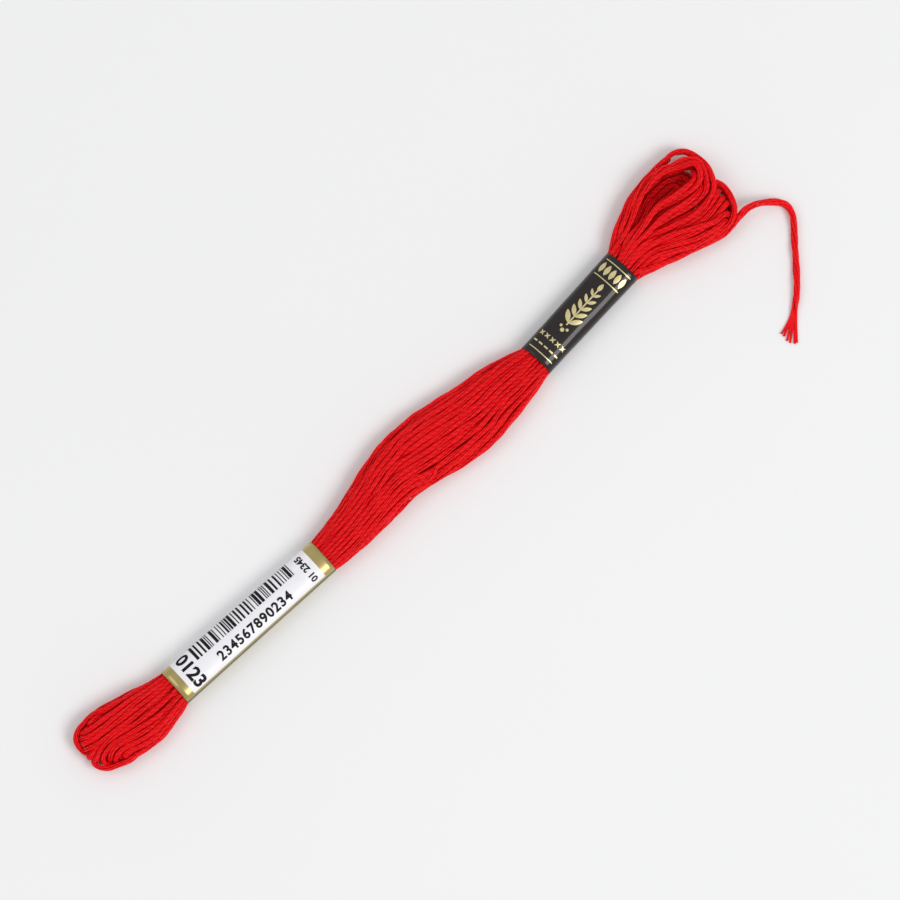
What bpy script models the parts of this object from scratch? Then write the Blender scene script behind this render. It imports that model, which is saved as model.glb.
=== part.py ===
"""A pull skein of six-strand embroidery floss, lying on its side on a flat surface.

The pieces are the hank of thread, the two paper bands that hold it, and the loose
end that leaves the looped end. +X runs along the skein from its folded end to its
looped end, +Z is up, and the origin is on the surface under the middle of the hank.
Sizes are in millimetres and are turned into metres where a mesh is made.
"""
from math import cos, pi, radians, sin

import bmesh
import bpy
import numpy as np
from mathutils import Vector

MM = 0.001

# Driving dimensions
GAP = 0.3               # clearance between two pieces that touch
PAPER_WALL = 1.0        # wall of a paper band's solid
THREAD = 1.2            # diameter of one six-strand thread
BAND_HEIGHT = 5.0       # a band's outer height, over its flat underside
RING_POINTS = 40        # points around one cross-section of the hank
STEP = 3.0              # spacing of the hank's cross-sections
RIDGES = 8              # bundles of thread that show around a cross-section
RIDGE_DEPTH = 0.22      # height of a bundle's ridge
RIDGE_TURN = 0.022      # radians of lay for each millimetre of length
UNDERSIDE = 0.12        # share of a section's height that the surface flattens

# Paper bands: middle of the band on the surface, length, heading, and the outer width at
# the end nearer the folded end and at the other end
LIGHT_BAND = {"x": -43.9, "y": -0.3, "length": 38.8, "yaw": -1.9, "widths": (8.3, 7.8)}
DARK_BAND = {"x": 45.4, "y": -0.95, "length": 25.6, "yaw": 3.9, "widths": (7.8, 8.3)}

# Hank outside the bands, a row for each section: place along the skein, the section's
# right and left edges, its height, and its lift off the surface
FOLDED_END = [
    # x,     right,  left,  height, lift
    (-85.2,   0.2,   5.0,   1.9,   0.5),
    (-84.8,  -1.4,   6.5,   3.2,   0.2),
    (-83.6,  -2.5,   7.7,   4.1,   0.0),
    (-81.5,  -3.4,   8.2,   4.5,   0.0),
    (-78.0,  -4.4,   8.1,   4.8,   0.0),
    (-74.0,  -5.2,   7.1,   5.0,   0.0),
    (-70.0,  -5.1,   5.9,   5.0,   0.0),
    (-66.5,  -4.5,   4.9,   4.8,   0.0),
    (-63.6,  -3.9,   4.3,   4.6,   0.0),
]
BODY = [
    (-24.2,  -4.6,   2.9,   4.6,   0.0),
    (-20.0,  -5.2,   3.5,   5.0,   0.0),
    (-14.0,  -5.5,   4.6,   5.2,   0.0),
    (-8.0,   -5.3,   6.2,   5.4,   0.0),
    (-3.0,   -4.9,   7.2,   5.5,   0.0),
    (2.0,    -5.8,   7.5,   5.5,   0.0),
    (7.0,    -7.0,   7.3,   5.5,   0.0),
    (12.0,   -8.0,   6.5,   5.4,   0.0),
    (17.0,   -8.3,   5.7,   5.3,   0.0),
    (21.5,   -7.6,   4.9,   5.2,   0.0),
    (26.0,   -6.8,   3.9,   5.0,   0.0),
    (32.3,   -5.6,   2.1,   4.6,   0.0),
]
LOOPED_END = [
    (58.5,   -4.1,   3.9,   4.6,   0.0),
    (61.5,   -5.2,   6.2,   5.0,   0.0),
    (65.0,   -6.4,   8.1,   5.6,   0.0),
    (70.0,   -7.8,   9.3,   6.2,   0.0),
    (75.0,   -9.4,   9.8,   6.5,   0.0),
    (79.0,  -10.1,  10.0,   6.2,   0.0),
    (81.5,   -8.8,   9.5,   5.3,   0.0),
    (83.5,   -6.2,   8.1,   4.1,   0.1),
    (84.7,   -3.4,   6.1,   2.9,   0.3),
    (85.2,   -1.5,   4.6,   1.9,   0.6),
]

# Soft troughs in the top of the hank: a line from start to end, its half-width and depth
TROUGHS = [
    {"start": (0.5, -2.0), "end": (20.5, -4.9), "width": 0.9, "depth": 1.4},
    {"start": (67.0, 0.8), "end": (86.5, 0.4), "width": 1.1, "depth": 1.4},
    {"start": (-86.5, 4.2), "end": (-77.0, -2.6), "width": 0.8, "depth": 0.9},
]
EYE = {"x": 76.8, "y": 4.8, "along": 3.6, "across": 2.2, "depth": 2.6}

# Route of the loose end's centre line, from where it leaves the hank to its cut end
LOOSE_END = [
    # x,     y,      z
    (82.5,  -8.9,   2.8),
    (84.1,  -8.9,   2.9),
    (85.6,  -9.4,   2.9),
    (86.9, -10.0,   2.7),
    (88.1, -10.8,   2.4),
    (89.2, -11.7,   2.1),
    (90.0, -12.6,   1.7),
    (90.5, -13.5,   1.4),
    (90.7, -14.5,   1.1),
    (90.4, -15.7,   0.9),
    (89.2, -17.3,   0.8),
    (87.5, -19.3,   0.7),
    (85.6, -21.4,   0.7),
    (83.3, -24.0,   0.7),
    (81.0, -26.5,   0.7),
    (78.3, -28.9,   0.7),
    (75.3, -31.1,   0.7),
    (72.3, -33.3,   0.7),
]
ROUTE_SPACING = 2.4 * THREAD


def clear_scene():
    """Remove whatever the open file holds."""
    for item in list(bpy.data.objects):
        bpy.data.objects.remove(item, do_unlink=True)


def principled(name, colour, roughness, metallic=0.0):
    """Make a plain Principled material."""
    material = bpy.data.materials.new(name)
    material.use_nodes = True
    shader = material.node_tree.nodes["Principled BSDF"]
    shader.inputs["Base Color"].default_value = (*colour, 1.0)
    shader.inputs["Roughness"].default_value = roughness
    shader.inputs["Metallic"].default_value = metallic
    return material


def add_object(name, mesh, material, place=(0.0, 0.0, 0.0), yaw=0.0, sharp_angle=50.0):
    """Link a mesh as a named object, shaded smooth except over sharp edges."""
    mesh.materials.append(material)
    mesh.shade_smooth()
    mesh.set_sharp_from_angle(angle=radians(sharp_angle))
    item = bpy.data.objects.new(name, mesh)
    item.location = Vector(place) * MM
    item.rotation_euler = (0.0, 0.0, radians(yaw))
    bpy.context.collection.objects.link(item)
    return item


def smooth_rows(table, positions):
    """Read a table's other columns at new places along its first, on cubic curves
    whose slope at each row is that of the chord between the rows on either side."""
    table = np.array(table, dtype=float)
    places, values = table[:, 0], table[:, 1:]
    slopes = np.gradient(values, places, axis=0)
    at = np.clip(np.searchsorted(places, positions) - 1, 0, len(places) - 2)
    span = (places[at + 1] - places[at])[:, None]
    t = (positions[:, None] - places[at][:, None]) / span
    start = (2 * t**3 - 3 * t**2 + 1) * values[at] + (t**3 - 2 * t**2 + t) * span * slopes[at]
    end = (3 * t**2 - 2 * t**3) * values[at + 1] + (t**3 - t**2) * span * slopes[at + 1]
    return np.column_stack([positions, start + end])


def superellipse(angles, power):
    """Unit superellipse: each of cosine and sine raised to 2/power, with its sign kept."""
    across = np.sign(np.cos(angles)) * np.abs(np.cos(angles)) ** (2 / power)
    up = np.sign(np.sin(angles)) * np.abs(np.sin(angles)) ** (2 / power)
    return across, up


def trough_depth(x, y):
    """How far the soft troughs and the eye of the loops lower the top at (x, y)."""
    depth = np.zeros_like(y)
    for trough in TROUGHS:
        start = np.array(trough["start"])
        line = np.array(trough["end"]) - start
        length = np.hypot(*line)
        along = ((x - start[0]) * line[0] + (y - start[1]) * line[1]) / length
        off = ((y - start[1]) * line[0] - (x - start[0]) * line[1]) / length
        fade = np.clip(np.minimum(along, length - along) / 3.0, 0.0, 1.0)
        depth += trough["depth"] * fade * np.exp(-((off / trough["width"]) ** 2))
    bowl = ((x - EYE["x"]) / EYE["along"]) ** 2 + ((y - EYE["y"]) / EYE["across"]) ** 2
    return depth + EYE["depth"] * np.exp(-(bowl ** 1.5))


def hank_section(row, ridge_share=1.0, yaw=0.0):
    """One ring of the hank: a superellipse with a flat underside and, around its top
    and sides, the ridges of its bundles, which turn slowly along the length."""
    x, right, left, height, lift = row
    angles = np.arange(RING_POINTS) * 2 * pi / RING_POINTS
    across, up = superellipse(angles, 2.4)
    share = (0.5 + 0.5 * up - UNDERSIDE) / (1 - UNDERSIDE)
    ridge = RIDGE_DEPTH * ridge_share * np.cos(RIDGES * (angles - RIDGE_TURN * x))
    outward = ridge * np.clip(4 * share, 0.0, 1.0)
    y = (left + right) / 2 + (left - right) / 2 * across + outward * np.cos(angles)
    z = height * share + outward * np.sin(angles)
    dip = trough_depth(x, y) * np.clip(2.5 * share - 1.0, 0.0, 1.0) * ridge_share
    z = lift + np.maximum(z - dip, 0.0)
    tilt = (y - (left + right) / 2) * -sin(radians(yaw))
    return np.column_stack([x + tilt, y, z])


def neck_sections(band):
    """Two rings for the stretch that fills a band, a gap inside the band's wall."""
    half_length = band["length"] / 2 + GAP - 0.01
    height = BAND_HEIGHT - 2 * (PAPER_WALL + GAP)
    rings = []
    for side, width in zip((-1, 1), band["widths"]):
        half_width = width / 2 - PAPER_WALL - GAP
        x = band["x"] + side * half_length * cos(radians(band["yaw"]))
        y = band["y"] + side * half_length * sin(radians(band["yaw"]))
        row = (x, y - half_width, y + half_width, height, PAPER_WALL + GAP)
        rings.append(hank_section(row, 0.0, band["yaw"]))
    return rings


def stretch_sections(table, yaw_start=0.0, yaw_end=0.0):
    """The rings of one free stretch of the hank, with the ridges and the turned planes
    fading where the stretch meets a band."""
    first, last = table[0][0], table[-1][0]
    count = max(2, round((last - first) / STEP))
    even = np.linspace(first, last, count + 1)
    places = np.unique(np.round(np.concatenate([even, [row[0] for row in table]]), 2))
    keep = np.concatenate([[True], np.diff(places) > 0.35])
    places = places[keep]
    places[-1] = last
    rings = []
    for row in smooth_rows(table, places):
        to_start, to_end = row[0] - first, last - row[0]
        ridge_share = 1.0
        if yaw_start:
            ridge_share *= min(1.0, to_start / 6.0)
        if yaw_end:
            ridge_share *= min(1.0, to_end / 6.0)
        yaw = yaw_start * max(0.0, 1 - to_start / 8) + yaw_end * max(0.0, 1 - to_end / 8)
        rings.append(hank_section(row, ridge_share, yaw))
    return rings


def loft(name, rings):
    """Join rings of equal count into a closed mesh with a flat cap at each end."""
    shell = bmesh.new()
    rows = [[shell.verts.new(Vector(point) * MM) for point in ring] for ring in rings]
    count = len(rows[0])
    for ring, following in zip(rows, rows[1:]):
        for i in range(count):
            j = (i + 1) % count
            shell.faces.new((ring[i], ring[j], following[j], following[i]))
    shell.faces.new(rows[0][::-1])
    shell.faces.new(rows[-1])
    bmesh.ops.recalc_face_normals(shell, faces=shell.faces)
    bmesh.ops.triangulate(shell, faces=shell.faces)
    mesh = bpy.data.meshes.new(name)
    shell.to_mesh(mesh)
    shell.free()
    return mesh


def make_hank(material):
    """The wound thread as one solid: folded end, body and looped end, joined by the
    necks that the two bands squeeze."""
    light, dark = LIGHT_BAND["yaw"], DARK_BAND["yaw"]
    rings = stretch_sections(FOLDED_END, yaw_end=light)
    rings += neck_sections(LIGHT_BAND)
    rings += stretch_sections(BODY, yaw_start=light, yaw_end=dark)
    rings += neck_sections(DARK_BAND)
    rings += stretch_sections(LOOPED_END, yaw_start=dark)
    return add_object("hank", loft("hank", rings), material)


def band_outline(width, height, inset):
    """Outline of a band's tube around X: a superellipse with a flat underside, drawn in
    by the inset all round."""
    angles = np.arange(RING_POINTS) * 2 * pi / RING_POINTS
    across, up = superellipse(angles, 2.4)
    share = np.maximum((0.5 + 0.5 * up - UNDERSIDE) / (1 - UNDERSIDE), 0.0)
    y = across * (width / 2 - inset)
    z = inset + share * (height - 2 * inset)
    return y, z


def make_band(name, band, material):
    """A paper band: a tube of one wall, open at both ends."""
    half = band["length"] / 2
    shell = bmesh.new()
    rings = []
    near, far = band["widths"]
    corners = (
        (-half, near, 0.0),
        (half, far, 0.0),
        (half, far, PAPER_WALL),
        (-half, near, PAPER_WALL),
    )
    for x, width, inset in corners:
        y, z = band_outline(width, BAND_HEIGHT, inset)
        rings.append([shell.verts.new(Vector((x, b, c)) * MM) for b, c in zip(y, z)])
    for ring, following in zip(rings, rings[1:] + rings[:1]):
        for i in range(RING_POINTS):
            j = (i + 1) % RING_POINTS
            shell.faces.new((ring[i], ring[j], following[j], following[i]))
    bmesh.ops.recalc_face_normals(shell, faces=shell.faces)
    mesh = bpy.data.meshes.new(name)
    shell.to_mesh(mesh)
    shell.free()
    return add_object(name, mesh, material, (band["x"], band["y"], 0.0), band["yaw"])


def smooth_route(points, spacing):
    """Points at an even spacing along a smooth curve through the route's own points."""
    points = np.array(points, dtype=float)
    along = np.concatenate([[0.0], np.cumsum(np.linalg.norm(np.diff(points, axis=0), axis=1))])
    count = round(along[-1] / spacing)
    rows = smooth_rows(np.column_stack([along, points]), np.linspace(0.0, along[-1], count + 1))
    return rows[:, 1:]


def make_loose_end(material):
    """The thread's free end, a plain round cord that comes down to the surface."""
    curve = bpy.data.curves.new("loose_end", "CURVE")
    curve.dimensions = "3D"
    curve.bevel_depth = THREAD / 2 * MM
    curve.bevel_resolution = 2
    curve.use_fill_caps = True
    route = smooth_route(LOOSE_END, ROUTE_SPACING)
    spline = curve.splines.new("POLY")
    spline.points.add(len(route) - 1)
    for point, (x, y, z) in zip(spline.points, route):
        point.co = (x * MM, y * MM, z * MM, 1.0)
    spline.use_smooth = True
    curve.materials.append(material)
    item = bpy.data.objects.new("loose_end", curve)
    bpy.context.collection.objects.link(item)
    return item


def main():
    clear_scene()
    floss = principled("floss_red", (0.66, 0.010, 0.014), 0.55)
    white_paper = principled("paper_white", (0.82, 0.78, 0.82), 0.45)
    black_paper = principled("paper_black", (0.022, 0.017, 0.017), 0.25)
    make_hank(floss)
    make_band("band_light", LIGHT_BAND, white_paper)
    make_band("band_dark", DARK_BAND, black_paper)
    make_loose_end(floss)


main()
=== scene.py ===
"""Looks of a pull skein of six-strand embroidery floss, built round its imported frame.

Lengths are in millimetres while shapes are worked out, and a mesh is written in metres.
+X runs from the folded end to the looped end, +Y is the skein's left and +Z is up.
"""

from math import cos, pi, radians, sin, tau

import bmesh
import bpy
import numpy as np
from mathutils import Matrix


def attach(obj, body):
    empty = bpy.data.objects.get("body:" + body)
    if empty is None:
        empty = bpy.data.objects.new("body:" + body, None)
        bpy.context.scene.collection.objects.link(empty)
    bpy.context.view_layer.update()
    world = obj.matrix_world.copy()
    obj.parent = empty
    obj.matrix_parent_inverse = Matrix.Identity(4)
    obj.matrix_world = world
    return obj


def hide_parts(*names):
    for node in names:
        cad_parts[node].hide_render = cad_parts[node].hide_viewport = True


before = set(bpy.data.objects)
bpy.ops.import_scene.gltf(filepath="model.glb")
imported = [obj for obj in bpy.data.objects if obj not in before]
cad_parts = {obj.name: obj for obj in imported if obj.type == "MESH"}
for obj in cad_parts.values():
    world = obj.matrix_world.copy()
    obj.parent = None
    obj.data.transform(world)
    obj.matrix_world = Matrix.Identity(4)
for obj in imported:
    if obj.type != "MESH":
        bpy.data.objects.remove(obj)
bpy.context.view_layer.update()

MM = 0.001
RNG = np.random.default_rng(46)

# Thread
THREAD = 1.20            # diameter of a thread where it lies free
BODY_THREAD = 1.29       # and where the skein is full, as its strands spread
FILL = 0.79              # share of a cross-section that squeezed threads fill
PRESSED = 1.03           # drawn this much thicker than their spacing, so that no light shows
RUNS = 48
STRANDS = 6
LAY = 19.5               # length of one turn of the strands round each other
STRAND_SIDES = 7
PLY_STEP = 1.35          # spacing of the two plies' ridges along a strand
POINT_STEP = 0.8         # spacing of a thread's points
BEND_STEP = 0.55         # their spacing where the threads turn back
POWER = 2.4              # of the superellipse that a cross-section fills
AREA = 3.25              # about that of the superellipse, over the product of its half-axes
FULL = (4.0, 42.0, 20.0)    # x of the full body's middle, half its length, and of its taper
UNDERSIDE = 0.12         # share of a cross-section's height that the surface flattens
MIDDLE = 0.5 - UNDERSIDE / 2 / (1 - UNDERSIDE)     # height of the ellipse's centre, as a share
REACH_UP = 1 - MIDDLE
PUSH = 0.42              # share of an overlap that a thread is pushed by, in a step of settling
EVENING = 0.35           # share by which a step evens the push out along the thread
FADE = 0.996             # what a step leaves of it
LOOSE_PINNED = (79.0, -11.0)    # x past which, and y right of which, the loose end stays put
BORDER_PINNED = -78.0    # x past which the fold's borders do
HELD = (-83.0, 80.0)     # x between which the room's outline holds the threads
FOLD_LIMIT = -84.6       # x that no thread passes as it settles

TURNS = (-77.0, 74.0)    # x past which the threads turn back, at the two ends
WANDER = ((0.065, 0.015), (0.10, 0.03))    # heights of a run's two waves off its lane, across and up

# Paper
PAPER = 0.13
LAYER_GAP = 0.03         # between the two layers where a band overlaps itself
BAND_STEPS = (220, 40)   # points round a band and along it
ARC_STEPS = 1200
DENT = 0.05              # depth to which the paper sinks between threads
INSIDE = 1000.0          # added to the inner face's place across, so that no print lies on it

# Prints
PANEL_ENDS = (2.1, 2.4)  # gold left at the two ends of the white panel
PANEL_SIDES = (-3.75, 7.5)     # of the panel, from the band's top line towards +Y
SEAM_SHADOW = (-1.3, 0.2)  # sides of the painted shadow, a dark stripe along the flap's edge, measured from that edge
BARS_ALONG = (-12.6, 12.6)
BARS_ACROSS = 2.75       # place of their middles
BAR_LENGTH = 3.95
BAR_UNIT = 0.21          # width of the thinnest bar
INK_LIFT = 0.012         # of the ink's top above the paper
INK_DEPTH = 0.04         # and of its underside below it
STRIP = 0.4              # width of the strips that figures are cut into
CUT_REACH = 9.0          # the cuts lie up to this far to each side of the figures' middle
SLIVER = 0.002           # edges shorter than this are merged

# Lanes: the 48 runs of thread lie in four rows, counted from the underside
ROW_COUNTS = (11, 13, 13, 11)
LANE_PITCH = 6.3         # lanes across half of the skein
TOP_LANE = 0.78          # height of the uppermost row, as a share of the half-height
JOIN = -43.9             # x at which the two halves of each run meet, inside the light band

# Creases: x, spread along x, lane at which the threads part, gap
CREASES = (
    (9.0, 9.0, -0.50, 0.5),
    (-82.0, 6.0, -0.08, 0.3),
)

# Places that threads keep out of: x, y, half-length, half-width, heading in degrees, and
# the floor above which they are empty and the height under which the threads below stay
VOIDS = (
    (76.8, 5.2, 4.9, 2.5, -25.0, 2.0, 1.3),      # the left group's hollow
    (80.0, 8.2, 2.8, 1.05, -17.0, -9.0, 0.0),    # a slit between its arches
    (9.0, -4.0, 9.5, 0.75, -6.0, 2.9, 2.6),     # the crease along the body
)

# Looped end, left group: it curls round a hollow. Outer, inner and lowest loops
LEFT_LOOPS = (
    # outer x, y,   z,     inner x, y,  z,     lowest x, y, z
    (64.0,  6.3,  2.2,   64.0,  4.7,  2.8,   64.0,  4.0,  1.4),
    (69.5,  8.2,  2.3,   69.2,  7.1,  3.0,   69.0,  6.2,  1.1),
    (75.2,  9.1,  2.4,   74.4,  8.5,  3.2,   73.4,  7.4,  0.9),
    (80.2,  9.8,  2.6,   78.4,  7.9,  3.6,   76.6,  7.2,  0.8),
    (83.3,  7.9,  2.9,   81.2,  6.4,  4.0,   79.4,  6.2,  0.8),
    (84.2,  4.4,  3.2,   82.5,  5.0,  4.4,   80.4,  4.6,  0.8),
    (83.6,  1.0,  3.6,   81.6,  2.9,  4.8,   79.6,  2.9,  0.9),
    (81.7, -2.0,  3.9,   78.9,  1.9,  5.0,   76.8,  2.4,  1.0),
    (77.9, -3.3,  4.1,   75.4,  2.5,  5.0,   74.2,  3.4,  1.1),
    (71.4, -2.7,  4.1,   70.9,  3.8,  4.8,   70.2,  3.8,  1.3),
    (64.6, -1.4,  3.9,   65.2,  2.9,  4.5,   64.8,  2.4,  1.6),
)
# where each loop lies between outer (0) and inner (1), or past 1.2 on the lowest and drawn in
# towards the hollow's middle: round the tip, and on its way back. Then its heights in the pile:
# 0.5 is the loop's own height, and 1 more lies PILE above it
LEFT_NEST = (
    # tip, return, height on the way up, height on the way back
    (0.00, 0.00, 0.62, 0.62),
    (0.04, 0.14, 0.26, 0.26),
    (0.64, 0.28, 0.30, 0.12),
    (0.68, 0.42, 0.80, 0.50),
    (1.05, 0.56, -0.40, 0.92),
    (1.00, 0.70, 0.35, 0.20),
    (1.04, 0.85, 0.85, 0.58),
    (1.10, 1.00, -0.30, 0.98),
    (1.45, 1.45, 0.40, 0.40),
    (1.95, 1.95, 0.50, 0.50),
    (2.45, 2.45, 0.40, 0.40),
    (2.95, 2.95, 0.50, 0.50),
)
LEFT_TURNS = (1, 0, 3, 2, 5, 6, 4, 8, 7, 9, 11, 10)     # lanes cross as they leave the band

# Looped end, right group: loops that lie nested round one another
RIGHT_LOOPS = (
    # outer x, y,    inner x, y,    lift
    (64.0, -1.6,   64.0, -3.2,    0.0),
    (70.0, -2.5,   70.0, -4.6,    0.0),
    (75.6, -2.7,   75.6, -5.2,    0.0),
    (79.6, -1.6,   78.4, -4.9,    0.0),
    (82.4, -0.2,   80.3, -4.5,    0.0),
    (83.5, -1.3,   81.2, -4.8,    0.0),
    (83.7, -3.4,   81.3, -5.4,    0.0),
    (83.0, -5.4,   80.6, -6.1,   -0.1),
    (81.8, -7.2,   79.2, -6.3,   -0.2),
    (79.2, -8.1,   77.0, -6.3,   -0.3),
    (75.0, -7.6,   74.2, -6.1,   -0.3),
    (69.6, -6.1,   69.4, -5.3,   -0.3),
    (64.2, -4.5,   64.2, -4.0,   -0.2),
)
RIGHT_NEST = (
    # row and lane on the way up, row and lane on the way back, outer 0 to inner 1, height
    (3, 5, 1, 0, 0.00, 3.2), (2, 5, 0, 0, 0.04, 2.0), (0, 5, 1, 1, 0.02, 0.8),
)
# inside them, runs that turn straight down at the tip: the routes of the left, middle and
# right ones
RIGHT_FAN = (
    # left x, y,   middle x, y,   right x, y
    (64.0, -2.2,   64.0, -3.3,   64.0, -4.5),
    (70.0, -3.5,   70.0, -4.9,   69.6, -6.2),
    (75.4, -4.0,   75.6, -6.0,   74.4, -7.5),
    (79.4, -3.0,   79.8, -5.7,   77.4, -8.0),
)
FAN_TIP = (82.9, -2.0, 82.7, -5.0, 79.9, -8.0)    # x and y of their tips, in the same order
FAN_PAIRS = (
    # upper row, lane, lower row, lane, place from left 0 to right 1, how far short of the tip,
    # upper height, lower height
    (3, 4, 0, 4, 0.00, 0.5, 4.3, 0.7),
    (3, 3, 0, 3, 0.30, 0.9, 4.3, 0.7),
    (3, 2, 0, 2, 0.58, 0.2, 4.3, 0.7),
    (3, 1, 0, 1, 0.84, 0.8, 4.2, 0.7),
    (3, 0, 2, 1, 1.00, 0.6, 3.8, 2.3),
    (2, 4, 1, 4, 0.15, 1.7, 3.1, 1.9),
    (2, 3, 1, 3, 0.45, 1.5, 3.1, 1.9),
    (2, 2, 1, 2, 0.72, 1.6, 3.1, 1.9),
)
PILE = 3.5               # height over which the left group's loops are piled

# The loose end: its run along the skein's right edge, then its way out over the surface
EDGE_RUN = (
    (62.7, -5.1, 2.4),
    (68.1, -6.6, 2.6),
    (74.3, -8.5, 2.7),
    (79.6, -9.3, 2.75),
)
LOOSE_END = (
    (82.5, -8.9, 2.8), (84.1, -8.9, 2.9), (85.6, -9.4, 2.9), (86.9, -10.0, 2.7),
    (88.1, -10.8, 2.4), (89.2, -11.7, 2.1), (90.0, -12.6, 1.7), (90.5, -13.5, 1.4),
    (90.6, -14.4, 1.1), (90.25, -15.6, 0.9), (89.05, -17.2, 0.8), (87.35, -19.2, 0.7),
    (85.45, -21.3, 0.7), (83.2, -23.9, 0.7), (80.9, -26.4, 0.7), (78.2, -28.8, 0.7),
    (75.3, -31.1, 0.7), (72.3, -33.3, 0.7),
)
LOOSE_SWELL = 0.26       # how much thicker the thread is where nothing presses it
LOOSE_FROM = -9.2        # y past which nothing does
FRAY = 9.0               # length over which its six strands part
FRAY_ASIDE = (1.95, 1.35, 0.6, -0.1, -1.0, -1.4)     # how far aside each strand ends
FRAY_SHORT = (0.6, 0.2, -0.6, -0.9, -0.9, -0.6)      # and how far short of the thread's end
FRAY_HEIGHT = 0.22       # of a strand's middle where it lies on the surface

# Folded end: a run in an upper row turns down into one in a lower row
FOLD_PAIRS = (
    # upper row, lane, lower row, lane
    [(3, lane, 0, lane) for lane in range(4)] + [(3, 4, 2, 5), (3, 5, 2, 6)]
    + [(3, lane, 0, lane) for lane in range(6, 11)]
    + [(2, lane, 1, lane) for lane in (1, 2, 3, 4, 7, 8, 9, 10, 11)]
)
# the others lie round the outside of the fold instead, as its borders: two about the left of
# it and two about the right
FOLD_BORDERS = (
    # row, lane, row, lane, then the turn's x, y, z
    (2, 12, 1, 6, ((-80.4, 7.6, 2.9), (-82.9, 7.2, 2.8), (-84.1, 6.2, 2.7), (-84.65, 4.6, 2.5),
                   (-84.6, 3.4, 2.2), (-83.9, 2.7, 1.9), (-82.6, 2.3, 1.7))),
    (1, 12, 0, 5, ((-80.4, 7.5, 1.5), (-82.8, 7.1, 1.4), (-84.0, 6.1, 1.3), (-84.5, 4.5, 1.2),
                   (-84.4, 3.3, 0.9), (-83.6, 2.6, 0.7), (-82.4, 2.2, 0.65))),
    (2, 0, 1, 5, ((-79.0, -3.9, 2.9), (-81.6, -3.0, 2.8), (-83.6, -1.9, 2.7), (-84.5, -0.6, 2.5),
                  (-84.6, 0.5, 2.3), (-84.0, 1.3, 2.0), (-82.6, 1.2, 1.7))),
    (1, 0, 0, 4, ((-79.0, -3.8, 1.5), (-81.5, -2.9, 1.4), (-83.5, -1.8, 1.3), (-84.4, -0.5, 1.2),
                  (-84.5, 0.5, 1.0), (-83.8, 1.2, 0.7), (-82.4, 1.1, 0.65))),
)
# x at which the fold ends within them, across the skein
FOLD_EDGE_Y = (-2.5, -1.6, -0.8, 0.1, 1.0, 1.9, 2.8, 3.7, 4.6, 5.5, 6.3, 7.0)
FOLD_EDGE_X = (-81.2, -82.4, -83.1, -83.7, -84.2, -84.3, -84.1, -84.3, -84.3, -84.1, -83.3, -82.0)
INNER_FOLD = 1.0         # the two middle rows turn this far inside the outer ones


# ---------------------------------------------------------------- camera

ELEVATION = radians(79.5)
HEADING = radians(44.0)            # of the skein's +X, above the view's right
TARGET = np.array((8.0, -3.0, 2.6))
LENS = 200.0
SENSOR = 36.0
SPAN = 176.76                      # width of the view at the target


def make_camera():
    """A long lens above the skein: across = (cos h, -sin h, 0) for its heading h, back = the
    way from target to lens, raised by its elevation, and up = back x across."""
    across = np.array((cos(HEADING), -sin(HEADING), 0.0))
    ahead = np.array((sin(HEADING), cos(HEADING), 0.0))
    back = -ahead * cos(ELEVATION) + np.array((0.0, 0.0, sin(ELEVATION)))
    up = np.cross(back, across)
    data = bpy.data.cameras.new("camera")
    data.lens = LENS
    data.sensor_width = SENSOR
    camera = bpy.data.objects.new("camera", data)
    bpy.context.scene.collection.objects.link(camera)
    place = (TARGET + back * SPAN * LENS / SENSOR) * MM
    camera.matrix_world = Matrix([(*pair, 0.0) for pair in zip(across, up, back)] + [(0, 0, 0, 1)])
    camera.location = place
    bpy.context.scene.camera = camera


make_camera()


# ---------------------------------------------------------------- meshes

def add_mesh(name, verts, faces, material, uv=None, tone=None, smooth=True):
    """One object from an array of vertices in mm and a list of face arrays, each of one corner
    count. uv has a pair for each face corner, tone a number for each vertex, and smooth is for
    all faces or for each."""
    mesh = bpy.data.meshes.new(name)
    corners = np.concatenate([group.ravel() for group in faces]).astype(np.int32)
    counts = np.concatenate([np.full(len(group), group.shape[1]) for group in faces])
    starts = np.r_[0, np.cumsum(counts)[:-1]].astype(np.int32)
    mesh.vertices.add(len(verts))
    mesh.vertices.foreach_set("co", (verts * MM).astype(np.float32).ravel())
    mesh.loops.add(len(corners))
    mesh.loops.foreach_set("vertex_index", corners)
    mesh.polygons.add(len(counts))
    mesh.polygons.foreach_set("loop_start", starts)
    mesh.polygons.foreach_set("use_smooth", np.broadcast_to(smooth, len(counts)).astype(bool))
    mesh.update(calc_edges=True)
    if uv is not None:
        layer = mesh.uv_layers.new(name="surface")
        layer.data.foreach_set("uv", uv.astype(np.float32).ravel())
    if tone is not None:
        attribute = mesh.attributes.new("tone", "FLOAT", "POINT")
        attribute.data.foreach_set("value", tone.astype(np.float32))
    mesh.materials.append(material)
    piece = bpy.data.objects.new(name, mesh)
    bpy.context.scene.collection.objects.link(piece)
    return piece


def fit(piece, node=None):
    """Every piece rides on the one body, and node is the CAD piece that it
    stands for."""
    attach(piece, "root")
    if node:
        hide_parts(node)


def shell(rows, columns, base=0):
    """Quads of a closed shell on two grids of points, numbered one after the other: the outer
    grid, the inner one turned over, and a wall from rim to rim."""
    number = base + np.arange(rows * columns).reshape(rows, columns)
    outer = np.stack([number[:-1, :-1], number[1:, :-1], number[1:, 1:], number[:-1, 1:]], -1)
    outer = outer.reshape(-1, 4)
    rim = np.concatenate([number[0], number[1:, -1], number[-1, -2::-1], number[-2:0:-1, 0]])
    beside = np.roll(rim, -1)
    wall = np.stack([rim, beside, beside + number.size, rim + number.size], -1)
    return np.vstack([outer, outer[:, ::-1] + number.size, wall])


def unit(vectors):
    return vectors / np.linalg.norm(vectors, axis=-1, keepdims=True)


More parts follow.
